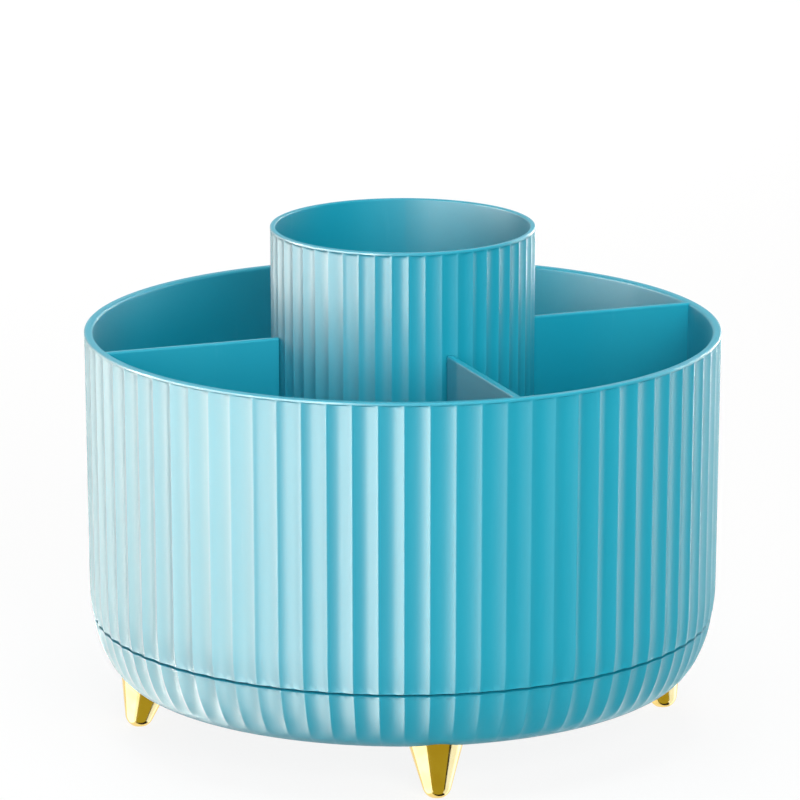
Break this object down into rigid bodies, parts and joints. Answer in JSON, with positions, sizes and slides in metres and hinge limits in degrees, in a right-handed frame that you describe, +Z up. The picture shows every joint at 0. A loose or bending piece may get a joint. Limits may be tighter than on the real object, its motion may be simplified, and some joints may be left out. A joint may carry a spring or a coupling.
{
  "type": "rotating makeup brush holder",
  "caption": "Round fluted organiser drum with a raised central brush cup and radial dividers, turning on a ball bearing in a shallow fluted base bowl on tapered feet.",
  "frame": {"origin": "on the ground, on the turning axis, under the middle of the base", "axes": "+Z up along the turning axis; -Y through the front foot; +X through the right foot"},
  "size_m": [0.17, 0.17, 0.136],
  "materials": {
    "blue_plastic": "satin injection-moulded ABS, light turquoise blue",
    "gold_plating": "mirror-bright gold electroplating over moulded plastic",
    "white_acetal": "natural white acetal, slightly waxy",
    "zinc_screw_steel": "bright zinc-plated steel",
    "polished_ball_steel": "ground and polished carbon steel"
  },
  "bodies": {
    "base": {"base_bowl": "blue_plastic", "foot_front": "gold_plating", "foot_right": "gold_plating", "foot_back": "gold_plating", "foot_left": "gold_plating", "foot_screws": "zinc_screw_steel", "lower_race": "white_acetal", "lower_race_screws": "zinc_screw_steel", "pivot_bush": "white_acetal", "pivot_cap": "blue_plastic"},
    "drum": {"drum_shell": "blue_plastic", "brush_cup": "blue_plastic", "divider_front": "blue_plastic", "divider_right": "blue_plastic", "divider_back": "blue_plastic", "divider_left": "blue_plastic", "cup_screws": "zinc_screw_steel", "upper_race": "white_acetal", "upper_race_screws": "zinc_screw_steel", "pivot_screw": "zinc_screw_steel", "thrust_washer": "white_acetal"},
    "cage": {"ball_cage": "white_acetal", "bearing_balls": "polished_ball_steel"}
  },
  "joints": [
    {"name": "drum_spin", "type": "hinge", "parent": "base", "child": "drum", "pos_m": [0, 0, 0.0284], "axis": [0, 0, 1], "continuous": true},
    {"name": "cage_spin", "type": "hinge", "parent": "base", "child": "cage", "pos_m": [0, 0, 0.0252], "axis": [0, 0, 1], "continuous": true}
  ],
  "couplings": [
    {"joint": "cage_spin", "follows": "drum_spin", "ratio": 0.5}
  ]
}
